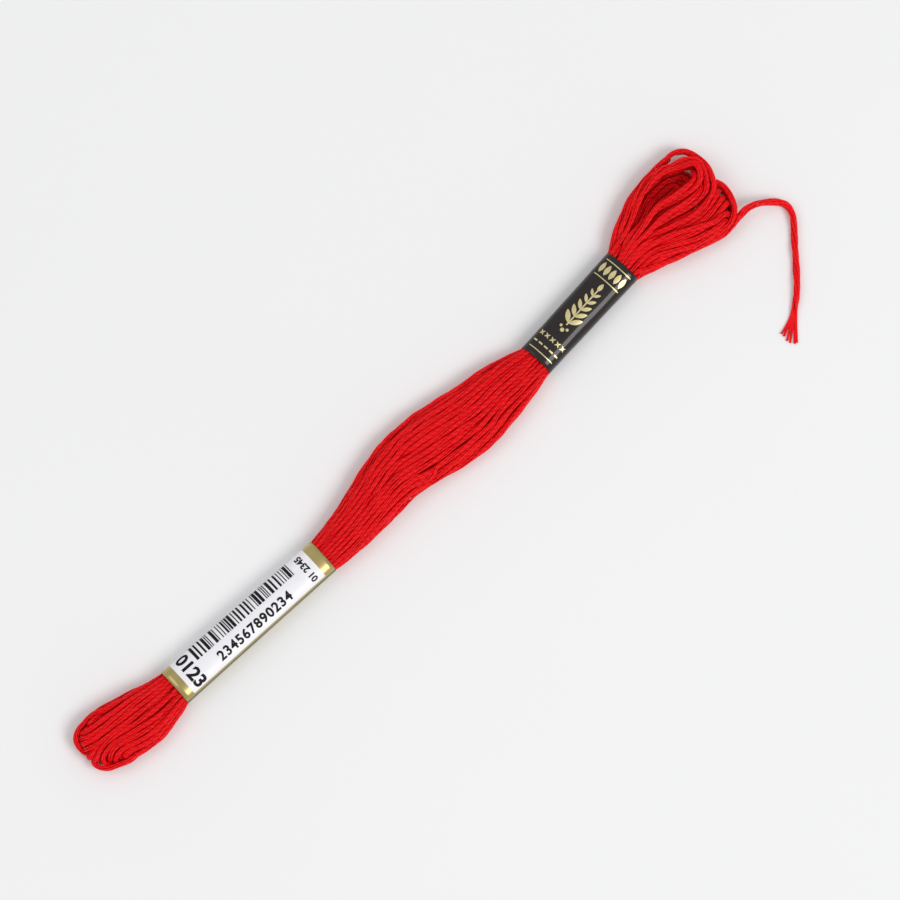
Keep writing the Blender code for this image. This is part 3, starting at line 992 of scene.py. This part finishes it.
def dark_paper_material():
    """Glossy black paper, a little browner where the coating has rubbed."""
    shader = Shader("black_gold_paper", coat_weight=0.5, coat_roughness=0.06, specular_ior_level=0.10)
    rubbed = shader.noise(700.0, 4.0)
    slow = shader.noise(120.0, 2.0)
    shade = (rubbed * 0.6 + slow * 0.5).clamped()
    shader.set(base_color=shader.mix(shade, (0.010, 0.006, 0.006, 1.0), (0.024, 0.017, 0.017, 1.0)))
    shader.set(roughness=rubbed * 0.10 + 0.32)
    shader.bump(paper_surface(shader), 0.00004, 0.5)
    return shader.material


def ink_material(name, scale, thin, full, roughness, foil=False, **constants):
    """Print whose colour and gloss waver with a fine grain, as its cover is a little uneven.
    The grain of foil shows as bump too."""
    shader = Shader(name, **constants)
    grain = shader.noise(scale, 3.0)
    shader.set(base_color=shader.mix(grain, (*thin, 1.0), (*full, 1.0)))
    shader.set(roughness=grain * 0.2 + roughness)
    if foil:
        shader.bump(grain, 0.00001, 0.4)
    return shader.material


def floor_material():
    """A plain pale table with the faintest unevenness."""
    shader = Shader("floor", roughness=0.9, specular_ior_level=0.1)
    shade = shader.noise(9.0, 2.0)
    shader.set(base_color=shader.mix(shade, (0.845, 0.845, 0.850, 1.0), (0.865, 0.865, 0.868, 1.0)))
    return shader.material


FLOSS = floss_material()
LIGHT_PAPER = light_paper_material()
DARK_PAPER = dark_paper_material()
GOLD_INK = ink_material(
    "gold_ink", 1500.0, (0.62, 0.52, 0.24), (0.86, 0.76, 0.42), 0.28, foil=True, metallic=0.8)
BLACK_INK = ink_material(
    "black_ink", 1900.0, (0.004, 0.004, 0.005), (0.012, 0.012, 0.013), 0.45, specular_ior_level=0.15)


# ---------------------------------------------------------------- threads

ROUTES = looped_end_routes()
LOOSE_ROUTE = len(ROUTES) - 2
LOOP_COUNT = len(ROUTES)
BORDERS = (LOOP_COUNT, LOOP_COUNT + len(FOLD_BORDERS))
ROUTES = ROUTES + folded_end_routes()
PATHS = [thinned(path) for path in settle(ROUTES, LOOSE_ROUTE, BORDERS, len(LEFT_NEST))]


def laid_threads():
    """Each settled path as its six strands."""
    threads = []
    for number, (path, (tangent, normal)) in enumerate(zip(PATHS, carried_frames(PATHS))):
        size = ROOM.thread(path[:, 0]) * PRESSED
        if number == LOOSE_ROUTE:
            free = path[:, 1] <= LOOSE_FROM
            size = size * (1 + LOOSE_SWELL * np.where(free, 1, smooth_step((path[:, 0] - 70) / 15)))
        phase = RNG.uniform(0, tau)
        rings, length = strand_tubes(path, tangent, normal, size, phase)
        threads.append((rings, length, RNG.uniform(-0.5, 0.5)))
    return threads


THREADS = laid_threads()


def make_loose_end():
    """The loose end: the part of its thread past the exit. Its strands stay laid up to the
    fray, then part: each bends aside by its own amount and sinks onto the surface."""
    path = PATHS[LOOSE_ROUTE]
    rings, length, tone = THREADS[LOOSE_ROUTE]
    exit_ring = int(np.argmin(np.linalg.norm(path - LOOSE_END[0], axis=1)))
    THREADS[LOOSE_ROUTE] = (rings[:exit_ring + 1], length[:exit_ring + 1], tone)
    path, rings, length = path[exit_ring:], rings[exit_ring:].copy(), length[exit_ring:]
    gone = length[-1] - length
    fray = 1 - np.clip(gone / FRAY, 0, 1)
    parting = (0.25 * fray + 0.75 * fray ** 2)[:, None] * np.array(FRAY_ASIDE)
    slope = unit(np.gradient(path, axis=0))
    aside = np.stack([slope[:, 1], -slope[:, 0], 0 * slope[:, 0]], -1)
    centre = rings.mean(axis=2)
    laid = centre - path[:, None]
    target = aside[:, None] * parting[..., None]
    ease = smooth_step(fray * 1.6)[:, None, None]
    moved = path[:, None] + laid * (1 - ease) + target
    sinking = ease[..., 0] * (path[:, 2, None] - FRAY_HEIGHT - 0.02)
    moved[..., 2] = np.maximum(moved[..., 2] - sinking, FRAY_HEIGHT)
    short = np.array(FRAY_SHORT)[None, :, None] * (fray ** 3)[:, None, None] * slope[:, None]
    moved = moved - short
    rings = rings + (moved - centre)[:, :, None]
    piece = thread_mesh("loose_thread_end", [(rings, length - length[0], tone)], FLOSS)
    fit(piece, "loose_end")
    (length[-1] - length[0]) * MM
    [tuple(point) for point in path * MM]


make_loose_end()

GROUPS = (
    ("floss_left_loops_outer", 0, 6),
    ("floss_left_loops_inner", 6, 12),
    ("floss_right_loops_outer", 12, 18),
    ("floss_right_loops_inner", 18, LOOP_COUNT),
    ("floss_folded_end", LOOP_COUNT, len(THREADS)),
)
for name, first, last in GROUPS:
    fit(thread_mesh(name, THREADS[first:last], FLOSS), "hank")


# ---------------------------------------------------------------- bands

def make_band(name, node, band, material):
    """A strip of paper wound once round the threads and over itself. Its outer face is the
    band's outline over angle and length, its inner face lies one thickness inside, and its
    four edges are closed."""
    angle, share = np.meshgrid(band.angles, np.linspace(0, 1, BAND_STEPS[1]), indexing="ij")
    turned = angle - band.flap_edge - tau
    outline = band.outline(angle, share, turned)
    ahead = unit(band.outline(angle + 0.01, share, turned + 0.01) - outline)
    dents = np.sin(3 * angle + 5 * share) * np.sin(tau * share * 1.3 + angle) * 0.5 + 0.5
    depth = DENT * dents * np.sin(pi * share)
    faces = []
    for inward in (depth, depth + PAPER):
        y = outline[..., 0] - ahead[..., 1] * inward
        z = np.maximum(outline[..., 1] + ahead[..., 0] * inward, 0)
        spot = band.ends[0] + share[..., None] * (band.axis * band.length) + y[..., None] * band.aside
        faces.append(np.concatenate([spot, z[..., None]], -1))
    across = np.broadcast_to((band.top_line - band.sheet_arc)[:, None], angle.shape)
    spots = np.stack([(share - 0.5) * band.length, across], -1).reshape(-1, 2)
    spots = np.vstack([spots, spots + (0, INSIDE)])
    rows, columns = angle.shape
    quads = shell(rows, columns)
    verts = np.vstack([face.reshape(-1, 3) for face in faces])
    on_face = np.arange(len(quads)) < 2 * (rows - 1) * (columns - 1)
    piece = add_mesh(name, verts, [quads], material, uv=spots[quads.ravel()], smooth=on_face)
    fit(piece, node)


make_band("paper_band_light", "band_light", LIGHT_BAND, LIGHT_PAPER)
make_band("paper_band_dark", "band_dark", DARK_BAND, DARK_PAPER)


# ---------------------------------------------------------------- prints

def add_print(name, marks, band, material):
    """Thin closed pads of ink on a band. Each mark is a pair of grids, mm along the band and
    mm across it. Its top follows the paper just above it, and its underside lies within."""
    verts, quads, base = [], [], 0
    for along, across in marks:
        verts += [band.surface(along, across, lift).reshape(-1, 3) for lift in (INK_LIFT, -INK_DEPTH)]
        quads.append(shell(*along.shape, base))
        base += 2 * along.size
    fit(add_mesh(name, np.vstack(verts), [np.vstack(quads)], material, smooth=False))


def bar(along, across, length, width, rows=2, columns=9):
    """A rectangle, as a grid of shares along its two sides."""
    i, j = np.meshgrid(np.linspace(-0.5, 0.5, rows), np.linspace(-0.5, 0.5, columns), indexing="ij")
    return along + length * i, across + width * j


def petal(along, across, length, width, turn):
    """A leaf from a point: half-width = width/2 sin(pi s)^0.8 at share s of its length."""
    share, side = np.meshgrid(np.linspace(0.02, 0.98, 9), np.linspace(-1, 1, 5), indexing="ij")
    out = share * length
    off = side * width / 2 * np.sin(pi * share) ** 0.8
    return along + out * cos(turn) - off * sin(turn), across + out * sin(turn) + off * cos(turn)


def dot(along, across, radius):
    """A disc from a square grid: x = u sqrt(1 - v^2/2), y = v sqrt(1 - u^2/2)."""
    u, v = np.meshgrid(np.linspace(-1, 1, 6), np.linspace(-1, 1, 6), indexing="ij")
    return along + radius * u * np.sqrt(1 - v * v / 2), across + radius * v * np.sqrt(1 - u * u / 2)


def digits(name, text, height, along, across, turn, band, weight, spread=1.0):
    """Figures laid on a band: made a thin closed mesh, cut into narrow strips, then each point
    is placed on the paper. turn is the angle from the band's axis to the line of figures."""
    curve = bpy.data.curves.new(name, "FONT")
    curve.body = text
    curve.size = height / 0.70
    curve.align_x = "CENTER"
    curve.align_y = "CENTER"
    curve.space_character = spread
    curve.extrude = 0.5
    curve.offset = weight
    curve.resolution_u = 4
    flat = bpy.data.objects.new(name + "_flat", curve)
    mesh = bpy.data.meshes.new_from_object(flat)
    bpy.data.objects.remove(flat)
    cuts = bmesh.new()
    cuts.from_mesh(mesh)
    bmesh.ops.remove_doubles(cuts, verts=cuts.verts, dist=SLIVER / 2)
    normal = np.array((sin(turn), cos(turn), 0.0))
    for step in np.arange(-CUT_REACH, CUT_REACH, STRIP):
        parts = cuts.verts[:] + cuts.edges[:] + cuts.faces[:]
        bmesh.ops.bisect_plane(cuts, geom=parts, plane_co=normal * step, plane_no=normal, dist=SLIVER)
    bmesh.ops.remove_doubles(cuts, verts=cuts.verts, dist=SLIVER)
    bmesh.ops.dissolve_degenerate(cuts, dist=SLIVER, edges=cuts.edges[:])
    bmesh.ops.triangulate(cuts, faces=cuts.faces[:])
    bmesh.ops.recalc_face_normals(cuts, faces=cuts.faces[:])
    cuts.to_mesh(mesh)
    cuts.free()
    flat_verts = np.array([vert.co[:] for vert in mesh.vertices])
    faces = np.array([face.vertices[:] for face in mesh.polygons])
    bpy.data.meshes.remove(mesh)
    x = along + flat_verts[:, 0] * cos(turn) - flat_verts[:, 1] * sin(turn)
    y = across + flat_verts[:, 0] * sin(turn) + flat_verts[:, 1] * cos(turn)
    lift = np.where(flat_verts[:, 2] > 0, INK_LIFT, -INK_DEPTH)
    fit(add_mesh(name, band.surface(x, y, lift), [faces], BLACK_INK, smooth=False))


def print_light_band():
    """Bars of random widths, a row of small figures under them, large ones at one end."""
    draw = np.random.default_rng(7)
    start, end = BARS_ALONG
    marks = []
    place = start
    while place < end:
        width = BAR_UNIT * draw.choice((1, 1, 1, 2, 2, 3))
        marks.append(bar(place + width / 2, BARS_ACROSS, width, BAR_LENGTH, columns=14))
        place += width + BAR_UNIT * draw.choice((1, 1, 2, 2, 3))
    add_print("light_band_bars", marks, LIGHT_BAND, BLACK_INK)
    digits("light_band_figures_along", "234567890234", 1.95, 0.2, -1.75, 0, LIGHT_BAND, 0.085, 1.13)
    digits("light_band_figures_large", "0123", 2.6, -15.0, 0.2, -pi / 2, LIGHT_BAND, 0.13)
    digits("light_band_figures_small", "01 2345", 1.35, 15.1, 0.1, pi / 2, LIGHT_BAND, 0.07)


def print_dark_band():
    """Gold marks: lozenges between rules, a sprig along the middle, then a row of crossed
    stitches and one of running stitches."""
    marks = []
    for along in (11.6, 7.9):
        marks.append(bar(along, 0.0, 0.2, 6.4, columns=17))
    for step in range(-2, 3):
        marks.append(petal(8.5, 1.3 * step, 2.5, 1.0, 0.0))
    marks.append(bar(0.9, 0.0, 9.4, 0.3, rows=3, columns=3))
    for step in range(5):
        for side in (-1, 1):
            size = 2.9 - 0.32 * step
            marks.append(petal(-3.3 + 1.8 * step, 0.1 * side, size, 0.36 * size, side * 0.72))
    marks.append(petal(5.2, 0.0, 2.0, 0.9, 0.0))
    for across in (-0.8, 0.8):
        marks.append(dot(-4.5, across, 0.3))
    marks.append(dot(-5.1, 0.0, 0.42))
    for step in range(-2, 3):
        for turn in (pi / 4, -pi / 4):
            reach = 0.95 / 2 * 1.5
            marks.append(petal(
                -7.9 - reach * cos(turn), 1.4 * step - reach * sin(turn), 2 * reach, 0.34, turn))
    for step in range(-2, 3):
        marks.append(bar(-9.9, 1.4 * step, 0.34, 0.95, columns=4))
    marks.append(bar(-11.4, 0.0, 0.2, 6.4, columns=17))
    add_print("dark_band_gold_marks", marks, DARK_BAND, GOLD_INK)


print_light_band()
print_dark_band()


# ---------------------------------------------------------------- floor, light

def make_stage():
    """A wide plain floor, a large soft key light from the skein's right, and a weak fill."""
    size = 2600.0
    corners = np.array([(-size, -size, 0), (size, -size, 0), (size, size, 0), (-size, size, 0)])
    floor = add_mesh("floor", corners, [np.array([(0, 1, 2, 3)])], floor_material())
    world = bpy.data.worlds.new("studio")
    world.use_nodes = True
    background = world.node_tree.nodes["Background"]
    background.inputs["Color"].default_value = (0.985, 0.99, 1.0, 1.0)
    background.inputs["Strength"].default_value = 0.66
    bpy.context.scene.world = world
    lights = (
        # name, place in metres, size, watts, colour
        ("key", (0.35, -1.25, 1.50), 0.90, 17.0, (1.0, 0.995, 0.985)),
        ("fill", (-1.10, 0.90, 1.60), 1.20, 5.0, (0.985, 0.99, 1.0)),
    )
    for name, place, size, watts, colour in lights:
        data = bpy.data.lights.new(name, "AREA")
        data.size = size
        data.energy = watts
        data.color = colour
        light = bpy.data.objects.new(name, data)
        light.location = place
        towards = -light.location
        light.rotation_euler = towards.to_track_quat("-Z", "Y").to_euler()
        bpy.context.scene.collection.objects.link(light)


make_stage()
bpy.context.scene.view_settings.view_transform = "Standard"
